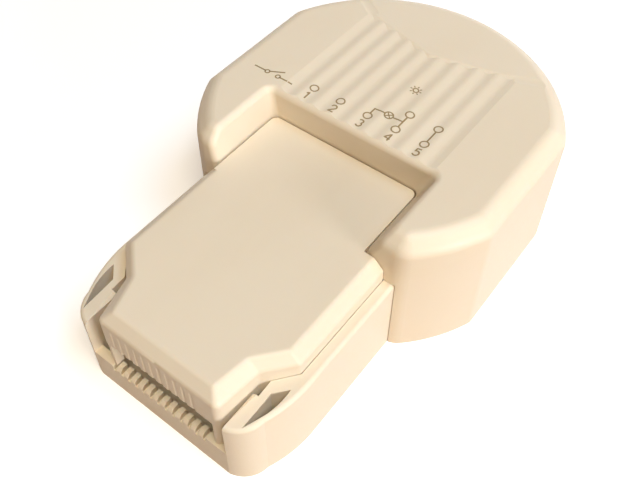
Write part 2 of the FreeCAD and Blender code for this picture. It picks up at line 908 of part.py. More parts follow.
def relay_moving_contact():
    """Spring leaf fixed on the armature, with a button at its free end."""
    leaf = box(relay_middle - leaf_half, relay_middle + leaf_half, yoke_back + leaf_start, leaf_tip,
               leaf_low, leaf_low + leaf_thick)
    button = rod(button_radius, relay_middle, button_y, leaf_low - button_high, leaf_low)
    return joined([leaf, button]).removeSplitter()


def relay_fixed_contact():
    """Blade that stands on the plinth and carries the fixed button under the moving one."""
    top = leaf_low - button_high - contact_gap
    shelf_top = top - button_high
    back = button_y + button_radius
    button = rod(button_radius, relay_middle, button_y, shelf_top, top)
    shelf = box(relay_middle - leaf_half, relay_middle + leaf_half, button_y - button_radius,
                back + contact_blade, shelf_top - contact_blade, shelf_top)
    blade = box(relay_middle - leaf_half, relay_middle + leaf_half, back, back + contact_blade,
                relay_floor, shelf_top)
    return joined([button, shelf, blade]).removeSplitter()


def with_leads(body, places, top):
    """A part and its wire leads, which go down through the board."""
    return joined([body] + [rod(lead_radius, x, y, board_low - pin_below, top) for x, y in places])


def film_capacitor():
    wide, long, high = film_size
    body = box(film_x, film_x + wide, film_rear - long, film_rear, board_top, board_top + high)
    body = body.makeFillet(film_round, edges_where(body, lambda b: b.ZMax > board_top + slip))
    return with_leads(body, film_leads(), board_top)


def electrolytic_capacitor():
    """Upright can with a rolled groove near its foot."""
    body = rod(can_radius, can_x, can_y, board_top, board_top + can_high)
    ring = Part.makeTorus(can_radius + can_groove / 2, can_groove,
                          point(can_x, can_y, board_top + can_groove_at))
    body = body.makeFillet(can_groove, edges_where(body, lambda b: b.ZMin > board_top + slip))
    return with_leads(body.cut(ring), can_leads(), board_top)


def transformer_core():
    """Ferrite frame with a middle leg through the bobbin."""
    top = board_top + trafo_high
    frame = block(trafo_x, trafo_y, trafo_half, trafo_thick_half, board_top, top)
    windows = []
    for side in (-1, 1):
        middle = side * (trafo_half - trafo_yoke + trafo_leg_half) / 2
        half = (trafo_half - trafo_yoke - trafo_leg_half) / 2
        windows.append(block(trafo_x + middle, trafo_y, half, trafo_half,
                             board_top + trafo_yoke, top - trafo_yoke))
    return frame.cut(joined(windows))


def bobbin_half():
    return trafo_half - trafo_yoke - slip


def bobbin_low():
    return board_top + trafo_yoke + slip


def bobbin_high():
    return board_top + trafo_high - trafo_yoke - slip


def leg_bore():
    """Space for the core's middle leg, with a little play."""
    return block(trafo_x, trafo_y, trafo_leg_half + slip, trafo_thick_half + slip, 0.0, head_height)


def transformer_bobbin():
    """Two flanges on a square tube, with a footed rail and three pins along each end."""
    half = bobbin_half()
    flanges = [block(trafo_x, trafo_y, half, bobbin_long_half, z, z + bobbin_wall)
               for z in (bobbin_low(), bobbin_high() - bobbin_wall)]
    tube = block(trafo_x, trafo_y, trafo_leg_half + slip + bobbin_wall,
                 trafo_thick_half + slip + bobbin_wall, bobbin_low(), bobbin_high())
    bobbin = joined(flanges + [tube]).cut(leg_bore())
    rails = [block(trafo_x, trafo_y + side * (bobbin_long_half - bobbin_foot / 2), half, bobbin_foot / 2,
                   board_top, bobbin_low()) for side in (-1, 1)]
    return with_leads(joined([bobbin] + rails).removeSplitter(), trafo_pins(), board_top)


def transformer_winding():
    half = bobbin_half() - winding_inset
    low = bobbin_low() + bobbin_wall
    high = bobbin_high() - bobbin_wall
    winding = block(trafo_x, trafo_y, half, bobbin_long_half - winding_inset, low, high)
    winding = winding.makeFillet(winding_inset, edges_where(winding, lambda b: b.ZLength > slip))
    wall = slip + bobbin_wall
    return winding.cut(block(trafo_x, trafo_y, trafo_leg_half + wall, trafo_thick_half + wall,
                             low - past, high + past))


def choke_spool():
    """Ferrite drum: two round flanges on a thin core."""
    top = board_top + choke_high
    flanges = [rod(choke_radius, choke_x, choke_y, z, z + choke_flange)
               for z in (board_top, top - choke_flange)]
    core = rod(choke_core, choke_x, choke_y, board_top, top)
    return with_leads(joined(flanges + [core]).removeSplitter(), choke_leads(), board_top)


def choke_winding():
    low = board_top + choke_flange
    high = board_top + choke_high - choke_flange
    winding = rod(choke_radius - winding_inset, choke_x, choke_y, low, high)
    return winding.cut(rod(choke_core, choke_x, choke_y, low - past, high + past))


def varistor():
    """Coated disc that stands on its leads."""
    middle = board_top + varistor_lift + varistor_radius
    disc = Part.makeCylinder(varistor_radius, varistor_thick, point(varistor_x, varistor_y, middle),
                             point(1, 0, 0))
    disc = disc.makeFillet(varistor_round, edges_where(disc, lambda b: b.XLength < slip))
    reach = math.sqrt(varistor_radius ** 2 - (varistor_lead_pitch / 2) ** 2)
    return with_leads(disc, varistor_leads(), middle - reach + varistor_round)


def fuse():
    wide, long, high = fuse_size
    body = block(fuse_x, fuse_y, wide / 2, long / 2, board_top, board_top + high)
    body = body.makeFillet(film_round, edges_where(body, lambda b: b.ZMax > board_top + slip))
    return with_leads(body, fuse_leads(), board_top)


def flat_part(size, place, feet, pitch, half):
    """Low moulded part with a row of feet along both long sides."""
    wide, long, high = size
    x, y = place
    body = block(x, y, wide / 2, long / 2, board_top + foot_high / 2, board_top + high)
    row = []
    for number in range(feet):
        foot_y = y + pitch * (number - (feet - 1) / 2)
        row.append(block(x, foot_y, wide / 2 + foot_out, half, board_top, board_top + foot_high))
    return joined([body] + row).removeSplitter()


def bridge_rectifier():
    return flat_part(bridge_size, bridge_at, 2, bridge_foot_pitch, foot_half)


def optocouplers():
    return Part.makeCompound([flat_part(opto_size, place, 2, opto_foot_pitch, foot_half)
                              for place in opto_at])


def control_chip():
    return flat_part(chip_size, chip_at, chip_feet, chip_foot_pitch, chip_foot_half)


def main():
    os.makedirs("parts", exist_ok=True)
    for piece in (base_tray, head_shell, terminal_cover, case_screws, circuit_board, contact_strips,
                  relay_base, relay_case, relay_pins, relay_yoke, relay_core, relay_bobbin, relay_winding,
                  relay_armature, relay_moving_contact, relay_fixed_contact, film_capacitor,
                  electrolytic_capacitor, transformer_core, transformer_bobbin, transformer_winding,
                  choke_spool, choke_winding, varistor, fuse, bridge_rectifier, optocouplers, control_chip):
        export(piece.__name__, piece())
    export("bus_terminal_body", terminal_body(pole_places[:bus_pole_count]))
    export("mains_terminal_body", terminal_body(pole_places[bus_pole_count:]))
    for number, x in enumerate(pole_places, 1):
        export("wire_clamp_" + str(number), wire_clamp(x))
        export("terminal_screw_" + str(number), terminal_screw(x))


main()
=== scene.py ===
import bpy
import math
import numpy as np
from mathutils import Matrix, Vector

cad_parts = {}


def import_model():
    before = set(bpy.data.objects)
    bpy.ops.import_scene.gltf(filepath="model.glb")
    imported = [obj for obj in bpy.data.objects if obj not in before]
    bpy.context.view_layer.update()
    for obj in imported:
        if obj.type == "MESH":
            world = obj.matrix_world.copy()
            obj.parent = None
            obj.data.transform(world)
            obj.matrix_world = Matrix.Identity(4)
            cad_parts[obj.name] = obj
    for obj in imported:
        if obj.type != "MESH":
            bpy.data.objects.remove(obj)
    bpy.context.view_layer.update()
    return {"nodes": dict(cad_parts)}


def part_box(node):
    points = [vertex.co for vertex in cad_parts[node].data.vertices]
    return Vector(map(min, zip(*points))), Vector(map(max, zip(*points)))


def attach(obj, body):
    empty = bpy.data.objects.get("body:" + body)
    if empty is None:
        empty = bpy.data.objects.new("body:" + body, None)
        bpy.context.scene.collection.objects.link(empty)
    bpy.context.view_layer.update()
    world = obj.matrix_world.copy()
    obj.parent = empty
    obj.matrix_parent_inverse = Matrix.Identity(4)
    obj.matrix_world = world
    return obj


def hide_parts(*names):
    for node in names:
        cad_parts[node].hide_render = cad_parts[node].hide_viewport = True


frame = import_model()

MM = 0.001
board_low, board_top = (corner[2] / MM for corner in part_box("circuit_board"))

# Camera: fitted to the edges of the module in the picture
FOCAL_PX = 816.97
MIDDLE_PX = (310.0, 195.0)
PICTURE = (640.0, 480.0)
SENSOR_MM = 36.0
CLIP_NEAR, CLIP_FAR = 0.005, 20.0
CAMERA_AT = (0.046944, -0.077229, 0.104434)
CAMERA_AHEAD = (-0.40473, 0.52257, -0.75041)
CAMERA_RIGHT = (0.79116, 0.61160, -0.00080)

# Colours, linear
IVORY = (0.765, 0.655, 0.505)
IVORY_DEEP = (0.735, 0.615, 0.455)
SPECK = (0.30, 0.22, 0.12)
INK = (0.235, 0.165, 0.080)
TIN = (0.74, 0.72, 0.68)
ZINC = (0.60, 0.61, 0.62)
BRASS = (0.76, 0.56, 0.24)
ENAMEL = (0.55, 0.20, 0.07)
ENAMEL_RUBBED = (0.78, 0.33, 0.11)
LACQUER = (0.020, 0.120, 0.045)
GLASS_CLOTH = (0.42, 0.38, 0.20)
GREY = (0.125, 0.125, 0.120)
BLACK = (0.012, 0.012, 0.014)
DARK = (0.020, 0.021, 0.024)
YELLOW = (0.60, 0.40, 0.035)
SLEEVE = (0.022, 0.030, 0.060)
SLEEVE_STRIPE = (0.52, 0.54, 0.55)
CAN_TOP = (0.72, 0.73, 0.74)
# painted shade: darker metal laid along the vent grooves of the capacitor top
VENT_GROOVE_SHADE = (0.28, 0.29, 0.30)
FERRITE = (0.030, 0.030, 0.033)
TAPE = (0.62, 0.47, 0.08)
BLUE = (0.015, 0.055, 0.260)

# Lamps: name, way to it from the module, width in metres, watts, colour
LAMP_DISTANCE = 1.0
LAMPS_LOOK_AT = (0.0, -0.01, 0.01)
LAMPS = (
    ("side", (0.965, -0.16, 0.16), 0.45, 7.8, (0.97, 0.97, 0.98)),
    ("over_front", (0.30, -0.28, 0.90), 0.45, 6.7, (1.00, 0.94, 0.76)),
    ("over_rear", (0.45, 0.15, 0.88), 0.45, 4.2, (0.47, 0.69, 1.00)),
    ("behind", (-0.30, 0.95, 0.02), 0.60, 3.2, (1.00, 0.96, 0.92)),
)

# Terminals, numbered from the left seen from the tongue, and their pitch in millimetres
TERMINALS = range(1, 6)
TERMINAL_PITCH = 5.0

# Height over the board, in millimetres, up to which tinned feet and bare leads reach
FOOT_HIGH = 0.25
BARE_LEAD_HIGH = 0.3

# Ribs on the head, in millimetres, as the frame has them
RIB_COUNT = 9
RIB_PITCH = 3.056
RIB_FALL = 1.75
RIB_DEPTH = 0.2
RIB_KNEE = 0.45
RIB_RAMP = 0.9
RIB_END = 13.3
RIB_END_SLOPE = 0.25


def camera():
    """Camera whose axes are three unit vectors: back = -ahead, up = back x right, and right."""
    data = bpy.data.cameras.new("camera")
    data.sensor_width = SENSOR_MM
    data.lens = FOCAL_PX / PICTURE[0] * data.sensor_width
    data.shift_x = (PICTURE[0] / 2 - MIDDLE_PX[0]) / PICTURE[0]
    data.shift_y = -(PICTURE[1] / 2 - MIDDLE_PX[1]) / PICTURE[0]
    data.clip_start, data.clip_end = CLIP_NEAR, CLIP_FAR
    holder = bpy.data.objects.new("camera", data)
    back = -Vector(CAMERA_AHEAD).normalized()
    right = Vector(CAMERA_RIGHT).normalized()
    up = back.cross(right).normalized()
    right = up.cross(back).normalized()
    turn = Matrix((right, up, back)).transposed().to_4x4()
    turn.translation = Vector(CAMERA_AT)
    holder.matrix_world = turn
    bpy.context.scene.collection.objects.link(holder)
    bpy.context.scene.camera = holder


# ---- finishes

def tone_or_link(value):
    """A colour as a socket takes it: a link stays as it is, three numbers get an alpha of 1."""
    return value if isinstance(value, bpy.types.NodeSocket) else (*value, 1)


class Finish:
    """A material under construction: one Principled shader and the patterns that feed it.
    Patterns read Object coordinates, and their sizes are in millimetres."""

    def __init__(self, name, rough, **plain):
        self.made = bpy.data.materials.new(name)
        self.made.use_nodes = True
        self.tree = self.made.node_tree
        self.shader = self.tree.nodes["Principled BSDF"]
        self.shader.inputs["Roughness"].default_value = rough
        for socket, value in plain.items():
            self.shader.inputs[socket.replace("_", " ")].default_value = value
        self.place = self.tree.nodes.new("ShaderNodeTexCoord").outputs["Object"]

    def feed(self, socket, value):
        """Put a link or a plain value into a socket."""
        if isinstance(value, bpy.types.NodeSocket):
            self.tree.links.new(value, socket)
        else:
            socket.default_value = value

    def colour(self, value):
        self.feed(self.shader.inputs["Base Color"], tone_or_link(value))

    def rough(self, value):
        self.feed(self.shader.inputs["Roughness"], value)

    def metal(self, value):
        self.feed(self.shader.inputs["Metallic"], value)

    def moved(self, centre=(0, 0, 0), stretch=(1, 1, 1)):
        """Object coordinates about a centre in millimetres, stretched along each axis."""
        node = self.tree.nodes.new("ShaderNodeMapping")
        node.vector_type = "TEXTURE"
        node.inputs["Location"].default_value = [value * MM for value in centre]
        node.inputs["Scale"].default_value = stretch
        self.tree.links.new(self.place, node.inputs["Vector"])
        return node.outputs["Vector"]

    def noise(self, size, detail=2.0, at=None):
        """Smooth noise, about one swing to each size in millimetres."""
        node = self.tree.nodes.new("ShaderNodeTexNoise")
        node.inputs["Scale"].default_value = 1 / (size * MM)
        node.inputs["Detail"].default_value = detail
        self.tree.links.new(at or self.place, node.inputs["Vector"])
        return node.outputs["Fac"]

    def cells(self, size, at=None):
        """Distance to the nearest of scattered points, in cell sizes."""
        node = self.tree.nodes.new("ShaderNodeTexVoronoi")
        node.inputs["Scale"].default_value = 1 / (size * MM)
        self.tree.links.new(at or self.place, node.inputs["Vector"])
        return node.outputs["Distance"]

    def span(self, value, start, end, low=0.0, high=1.0):
        """Value carried from start..end to low..high, and held at the ends."""
        node = self.tree.nodes.new("ShaderNodeMapRange")
        for number, part in enumerate((value, start, end, low, high)):
            self.feed(node.inputs[number], part)
        return node.outputs[0]

    def maths(self, kind, *parts):
        """One step of arithmetic on links or numbers."""
        node = self.tree.nodes.new("ShaderNodeMath")
        node.operation = kind
        for number, part in enumerate(parts):
            self.feed(node.inputs[number], part)
        return node.outputs[0]

    def blend(self, share, first, second):
        """Colour between two, by a share from 0 to 1."""
        node = self.tree.nodes.new("ShaderNodeMix")
        node.data_type = "RGBA"
        self.feed(node.inputs[0], share)
        for number, part in ((6, first), (7, second)):
            self.feed(node.inputs[number], tone_or_link(part))
        return node.outputs[2]

    def axis(self, letter, at=None):
        """One Object coordinate, in millimetres."""
        node = self.tree.nodes.new("ShaderNodeSeparateXYZ")
        self.tree.links.new(at or self.place, node.inputs[0])
        return self.maths("MULTIPLY", node.outputs[letter], 1 / MM)

    def relief(self, height, depth):
        """Bump whose full swing is depth, in millimetres."""
        node = self.tree.nodes.new("ShaderNodeBump")
        node.inputs["Distance"].default_value = depth * MM
        self.tree.links.new(height, node.inputs["Height"])
        self.tree.links.new(node.outputs["Normal"], self.shader.inputs["Normal"])


def tinted(colour, factor):
    """Colour made lighter or darker by a factor, and no part of it over 1."""
    return tuple(min(part * factor, 1.0) for part in colour)


def ivory_plastic():
    """Fine moulded shell plastic: faint flow marks, a close satin grain, a few dark specks."""
    flow_size, grain_size, gloss_size, swell_size, specks_apart = 14.0, 0.22, 0.5, 1.6, 9.0
    it = Finish("ivory_plastic", 0.46, Specular_IOR_Level=0.35, Subsurface_Weight=0.18,
                Subsurface_Radius=(1.0, 0.55, 0.28), Subsurface_Scale=0.0007)
    flow = it.noise(flow_size, 3.0, it.moved(stretch=(1.0, 2.4, 1.0)))
    grain = it.noise(grain_size, 3.0)
    tone = it.blend(it.span(flow, 0.3, 0.7), IVORY_DEEP, IVORY)
    tone = it.blend(it.span(flow, 0.35, 0.55, 0.55, 1.0), tone, IVORY)
    tone = it.blend(it.span(grain, 0.25, 0.75, 0.0, 0.10), tone, tinted(IVORY, 1.10))
    speck = it.span(it.cells(specks_apart), 0.012, 0.02, 0.55, 0.0)
    it.colour(it.blend(speck, tone, SPECK))
    it.rough(it.span(it.noise(gloss_size, 4.0), 0.25, 0.75, 0.40, 0.54))
    it.relief(it.maths("ADD", grain, it.maths("MULTIPLY", it.noise(swell_size), 0.8)), 0.010)
    return it.made


def printing_ink():
    """Thin printed ink that lets a little of the plastic through."""
    it = Finish("printing_ink", 0.62, Specular_IOR_Level=0.3)
    it.colour(it.blend(it.span(it.noise(0.12, 3.0), 0.3, 0.8), INK, tinted(INK, 1.7)))
    return it.made


def plated(name, colour, rough, stroke=(1, 1, 1)):
    """Plated metal: cloudy bloom under fine rubbed strokes."""
    it = Finish(name, rough, Metallic=1.0)
    bloom = it.noise(1.1, 4.0)
    strokes = it.noise(0.07, 3.0, it.moved(stretch=stroke))
    tone = it.blend(it.span(bloom, 0.35, 0.7), tinted(colour, 0.84), colour)
    it.colour(it.blend(it.span(strokes, 0.5, 0.8, 0.0, 0.35), tone, tinted(colour, 1.12)))
    it.rough(it.span(strokes, 0.3, 0.75, rough - 0.09, rough + 0.12))
    it.relief(strokes, 0.004)
    return it.made


def leads_mixed(it, tone, rough, split):
    """Below the height split, in millimetres, the piece is tinned lead instead of its body."""
    body = it.span(it.axis("Z"), split - 0.01, split + 0.01)
    it.colour(it.blend(body, TIN, tone))
    it.metal(it.span(body, 0.0, 1.0, 1.0, 0.0))
    it.rough(it.span(body, 0.0, 1.0, 0.32, rough))


def moulded(name, colour, rough, grain=0.3, split=None, **plain):
    """Moulded or dipped plastic: slight shading, fine grain, and tinned leads below the split."""
    it = Finish(name, rough, **plain)
    tone = it.blend(it.span(it.noise(3.5, 3.0), 0.3, 0.7), tinted(colour, 0.86), tinted(colour, 1.12))
    tone = it.blend(it.span(it.noise(grain, 3.0), 0.45, 0.8, 0.0, 0.3), tone, tinted(colour, 1.6))
    if split is None:
        it.colour(tone)
        it.rough(it.span(it.noise(0.6, 3.0), 0.3, 0.7, rough - 0.06, rough + 0.08))
    else:
        leads_mixed(it, tone, rough, split)
    it.relief(it.noise(grain, 3.0), 0.012)
    return it.made


def board_lacquer():
    """Green lacquer over glass cloth, with the weave showing faintly and buff cut edges."""
    weave_pitch, lacquer_inner, lacquer_outer = 0.55, 0.09, 0.04
    it = Finish("board_lacquer", 0.32)
    threads = [it.maths("SINE", it.maths("MULTIPLY", it.axis(letter), 2 * math.pi / weave_pitch))
               for letter in "XY"]
    weave = it.maths("MULTIPLY", *threads)
    tone = it.blend(it.span(weave, -1.0, 1.0, 0.0, 0.5), LACQUER, tinted(LACQUER, 1.9))
    middle = (board_low + board_top) / 2
    half = (board_top - board_low) / 2
    depth = it.maths("ABSOLUTE", it.maths("SUBTRACT", it.axis("Z"), middle))
    core = it.span(depth, half - lacquer_inner, half - lacquer_outer, 1.0, 0.0)
    it.colour(it.blend(core, tone, GLASS_CLOTH))
    it.rough(it.span(core, 0.0, 1.0, 0.30, 0.8))
    it.relief(weave, 0.006)
    return it.made


def sleeved_can():
    """Shrink sleeve with a pale stripe down one side, bare metal top with a vent cross whose grooves
    carry painted shade.
    """
    low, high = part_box("electrolytic_capacitor")
    centre = ((low[0] + high[0]) / 2 / MM, (low[1] + high[1]) / 2 / MM, 0.0)
    top = high[2] / MM
    stripe_half, dash_half, dash_pitch = 1.3, 0.22, 2.5
    bare_radius, vent_radius, vent_half = 4.0, 2.9, 0.1
    it = Finish("sleeved_can", 0.3)
    at = it.moved(centre)
    x, y, z = it.axis("X", at), it.axis("Y", at), it.axis("Z")
    beside = it.maths("ABSOLUTE", y)
    away = it.maths("SQRT", it.maths("ADD", it.maths("MULTIPLY", x, x), it.maths("MULTIPLY", y, y)))
    stripe = it.maths("MULTIPLY", it.span(beside, stripe_half, stripe_half + 0.06, 1.0, 0.0),
                      it.span(x, 0.0, 0.1, 1.0, 0.0))
    beat = it.maths("FRACT", it.maths("MULTIPLY", z, 1 / dash_pitch))
    dash = it.span(it.maths("ABSOLUTE", it.maths("SUBTRACT", beat, 0.5)), 0.10, 0.12, 1.0, 0.0)
    dash = it.maths("MULTIPLY", dash, it.span(beside, dash_half, dash_half + 0.04, 1.0, 0.0))
    sleeve = it.blend(stripe, it.blend(it.noise(1.4), SLEEVE, tinted(SLEEVE, 1.7)), SLEEVE_STRIPE)
    sleeve = it.blend(it.maths("MULTIPLY", dash, stripe), sleeve, SLEEVE)
    bare = it.maths("MULTIPLY", it.span(z, top - 0.06, top - 0.03),
                    it.span(away, bare_radius, bare_radius + 0.05, 1.0, 0.0))
    cross = it.maths("MINIMUM", it.maths("ABSOLUTE", x), beside)
    cross = it.maths("MULTIPLY", it.span(cross, vent_half, vent_half + 0.1, 1.0, 0.0),
                     it.span(away, vent_radius, vent_radius + 0.1, 1.0, 0.0))
    # the vent cross gets a darker metal colour, painted shade for its grooves
    body = it.blend(bare, sleeve, it.blend(cross, CAN_TOP, VENT_GROOVE_SHADE))
    lead = it.span(z, board_top - 0.01, board_top + 0.01, 1.0, 0.0)
    it.colour(it.blend(lead, body, TIN))
    it.metal(it.maths("MAXIMUM", bare, lead))
    it.relief(it.maths("SUBTRACT", it.noise(0.5), cross), 0.03)
    return it.made


def wrapped_tape():
    """Polyester tape: glossy film, the wire's turns and the wrap lines faint in it."""
    wrap_pitch, wire_pitch = 2.05, 0.24
    it = Finish("wrapped_tape", 0.22, Coat_Weight=0.4, Coat_Roughness=0.1)
    lines = it.maths("FRACT", it.maths("MULTIPLY", it.axis("Z"), 1 / wrap_pitch))
    edge = it.span(lines, 0.0, 0.05, 1.0, 0.0)
    wave = it.maths("SINE", it.maths("MULTIPLY", it.axis("Z"), 2 * math.pi / wire_pitch))
    tone = it.blend(it.span(wave, -1.0, 1.0, 0.0, 0.25), TAPE, (0.45, 0.22, 0.04))
    tone = it.blend(it.span(it.noise(2.5, 3.0), 0.35, 0.7, 0.0, 0.35), tone, tinted(TAPE, 0.75))
    it.colour(it.blend(edge, tone, tinted(TAPE, 0.5)))
    it.relief(it.maths("ADD", it.noise(0.9, 3.0), edge), 0.03)
    return it.made


def enamelled_wire():
    """Enamelled copper: warm lacquer over metal, with paler rubbed turns."""
    it = Finish("enamelled_wire", 0.24, Metallic=0.85, Coat_Weight=0.6, Coat_Roughness=0.15)
    rubbed = it.span(it.noise(0.8, 3.0, it.moved(stretch=(1, 1, 0.3))), 0.3, 0.75)
    it.colour(it.blend(rubbed, ENAMEL, ENAMEL_RUBBED))
    return it.made


def solder_metal():
    """Bright solder, dull where flux was left."""
    it = Finish("solder_metal", 0.25, Metallic=1.0)
    dull = it.span(it.noise(0.5, 3.0), 0.4, 0.7)
    it.colour(it.blend(dull, (0.80, 0.80, 0.79), (0.52, 0.50, 0.44)))
    it.rough(it.span(dull, 0.0, 1.0, 0.18, 0.5))
    return it.made


def track_lacquer():
    """Green lacquer where copper lies under it: yellower and a little raised."""
    it = Finish("track_lacquer", 0.28)
    cloud = it.span(it.noise(0.9, 3.0), 0.3, 0.7)
    it.colour(it.blend(cloud, (0.045, 0.215, 0.050), (0.075, 0.275, 0.070)))
    return it.made


def legend_paint():
    """Chalky pale print on the board."""
    it = Finish("legend_paint", 0.7)
    cloud = it.span(it.noise(0.15, 3.0), 0.35, 0.7)
    it.colour(it.blend(cloud, (0.62, 0.62, 0.57), (0.76, 0.76, 0.71)))
    return it.made


ivory = ivory_plastic()
zinc = plated("zinc_plate", ZINC, 0.34, (6, 1, 1))
tin = plated("tin_plate", TIN, 0.38, (1, 5, 1))
finishes = {
    "base_tray": ivory,
    "head_shell": ivory,
    "terminal_cover": ivory,
    "case_screws": zinc,
    "circuit_board": board_lacquer(),
    "contact_strips": tin,
    "bus_terminal_body": moulded("terminal_grey", GREY, 0.5),
    "mains_terminal_body": moulded("terminal_slate", tinted(GREY, 0.8), 0.5),
    "relay_base": moulded("relay_plinth_black", BLACK, 0.45),
    "relay_case": moulded("relay_case_black", BLACK, 0.22, Coat_Weight=0.3),
    "relay_pins": tin,
    "relay_yoke": plated("soft_iron", (0.50, 0.50, 0.52), 0.42, (1, 1, 5)),
    "relay_core": plated("core_iron", (0.48, 0.48, 0.50), 0.38),
    "relay_bobbin": moulded("bobbin_black", DARK, 0.5),
    "relay_armature": plated("armature_iron", (0.54, 0.54, 0.55), 0.40, (1, 6, 1)),
    "relay_moving_contact": plated("leaf_bronze", BRASS, 0.30, (1, 7, 1)),
    "relay_fixed_contact": plated("blade_brass", tinted(BRASS, 0.92), 0.34, (1, 1, 6)),
    "film_capacitor": moulded("film_yellow", YELLOW, 0.28, 0.5, board_top),
    "electrolytic_capacitor": sleeved_can(),
    "transformer_core": moulded("core_ferrite", FERRITE, 0.72, 0.12),
    "transformer_bobbin": moulded("bobbin_resin", tinted(DARK, 1.3), 0.5, 0.3, board_top),
    "choke_spool": moulded("spool_ferrite", tinted(FERRITE, 1.1), 0.68, 0.12, board_top),
    "varistor": moulded("varistor_blue", BLUE, 0.25, 0.8, board_top + BARE_LEAD_HIGH),
    "fuse": moulded("fuse_black", tinted(DARK, 0.9), 0.35, 0.3, board_top),
    "bridge_rectifier": moulded("bridge_black", BLACK, 0.5, 0.15, board_top + FOOT_HIGH),
    "optocouplers": moulded("optocoupler_black", tinted(BLACK, 1.2), 0.5, 0.15, board_top + FOOT_HIGH),
    "control_chip": moulded("chip_black", BLACK, 0.55, 0.12, board_top + FOOT_HIGH),
}
for number in TERMINALS:
    finishes["wire_clamp_" + str(number)] = tin
    finishes["terminal_screw_" + str(number)] = zinc
for name, finish in finishes.items():
    for place in frame["nodes"][name].material_slots:
        place.material = finish


# ---- surfaces worked out with numpy, in millimetres

def tube_faces(along, around, loop):
    """Quads between the points of neighbouring stations, each station a closed ring."""
    station = np.arange(along if loop else along - 1)[:, None]
    spot = np.arange(around)[None, :]
    after, beside = (station + 1) % along, (spot + 1) % around
    quads = np.stack([station * around + spot, station * around + beside,
                      after * around + beside, after * around + spot], -1)
    return quads.reshape(-1, 4).tolist()


def tube(stations, loop=False):
    """Points and faces of a tube through stations (n, m, 3). An open one has a cap at each end."""
    along, around = stations.shape[:2]
    faces = tube_faces(along, around, loop)
    if not loop:
        faces.append(list(range(around))[::-1])
        faces.append([(along - 1) * around + spot for spot in range(around)])
    return stations.reshape(-1, 3), faces


def volume(points, faces):
    """Sum over the faces' triangles of the triple product of their corners, over six."""
    fan = [(face[0], face[k], face[k + 1]) for face in faces for k in range(1, len(face) - 1)]
    corner = points[np.array(fan)]
    return np.einsum("ij,ij->i", corner[:, 0], np.cross(corner[:, 1], corner[:, 2])).sum() / 6


def together(parts):
    """One set of points and faces from several closed ones, each turned outwards."""
    points, faces, count = [], [], 0
    for part_points, part_faces in parts:
        if volume(part_points, part_faces) < 0:
            part_faces = [face[::-1] for face in part_faces]
        points.append(part_points)
        faces += [[corner + count for corner in face] for face in part_faces]
        count += len(part_points)
    return np.concatenate(points), faces


def piece(name, parts, finish, smooth=True):
    """Object at the origin, riding on the housing, from closed parts in millimetres."""
    points, faces = together(parts)
    mesh = bpy.data.meshes.new(name)
    mesh.from_pydata((points * MM).tolist(), [], faces)
    mesh.polygons.foreach_set("use_smooth", np.full(len(mesh.polygons), smooth))
    mesh.materials.append(finish)
    mesh.update()
    made = bpy.data.objects.new(name, mesh)
    bpy.context.scene.collection.objects.link(made)
    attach(made, "housing")
    return made


def box_mm(name):
    """Lowest and highest corners of a frame node, in millimetres."""
    low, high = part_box(name)
    return np.array(low) / MM, np.array(high) / MM


def rib_wave(x):
    """Height of the ribs over the head's top: a fall of slope depth/fall, then a steeper rise.
    Within a knee of each corner the two lines give way to the parabola that touches both."""
    half = RIB_COUNT * RIB_PITCH / 2
    fall, rise = RIB_DEPTH / RIB_FALL, RIB_DEPTH / (RIB_PITCH - RIB_FALL)
    along = np.mod(x + half, RIB_PITCH)
    lines = np.where(along < RIB_FALL, -along * fall, (along - RIB_PITCH) * rise)
    bend = (fall + rise) / (4 * RIB_KNEE)
    lean = (rise - fall) / 2
    valley = along - RIB_FALL
    ridge = np.where(along > RIB_PITCH / 2, along - RIB_PITCH, along)
    lines = np.where(abs(valley) < RIB_KNEE,
                     -RIB_DEPTH + bend * (RIB_KNEE ** 2 + valley ** 2) + lean * valley, lines)
    lines = np.where(abs(ridge) < RIB_KNEE,
                     lean * ridge - bend * (RIB_KNEE ** 2 + ridge ** 2), lines)
    return np.where(abs(x) < half, lines, 0.0)


def head_top(x, y):
    """Top of the head: the wave, lifted behind to a slope that runs out along a V in plan."""
    slope = -RIB_DEPTH + (y - RIB_END - RIB_END_SLOPE * abs(x)) * RIB_DEPTH / RIB_RAMP
    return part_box("head_shell")[1][2] / MM + np.minimum(0.0, np.maximum(rib_wave(x), slope))


def dense(path, step):
    """Points along a polyline at even steps, its corners kept."""
    path = np.asarray(path, float)
    runs = [np.linspace(a, b, max(2, int(np.hypot(*(b - a)) / step) + 1))[:-1]
            for a, b in zip(path[:-1], path[1:])]
    return np.concatenate(runs + [path[-1:]])


def stroke(path, width, ground, low, high, loop=False):
    """Flat ribbon: at each point of the path a rectangle, across it by width / 2 each way,
    and from low to high over the ground's height there."""
    path = np.asarray(path, float)
    ahead = np.roll(path, -1, 0) - np.roll(path, 1, 0) if loop else np.gradient(path, axis=0)
    ahead /= np.linalg.norm(ahead, axis=1, keepdims=True)
    across = np.stack([-ahead[:, 1], ahead[:, 0]], 1)
    side = np.array([-0.5, 0.5, 0.5, -0.5]) * width
    lift = np.array([low, low, high, high])
    flat = path[:, None, :] + across[:, None, :] * side[None, :, None]
    height = ground(flat[..., 0], flat[..., 1]) + lift[None, :]
    return tube(np.concatenate([flat, height[..., None]], 2), loop)


def ring(x, y, radius, count=40):
    """Circle: centre plus radius times (cos, sin) at even angles."""
    turn = np.arange(count) * 2 * math.pi / count
    return np.stack([x + radius * np.cos(turn), y + radius * np.sin(turn)], 1)


def arc(x, y, radius, start, end, count=16):
    """Part of a circle between two angles in degrees."""
    turn = np.radians(np.linspace(start, end, count))
    return np.stack([x + radius * np.cos(turn), y + radius * np.sin(turn)], 1)


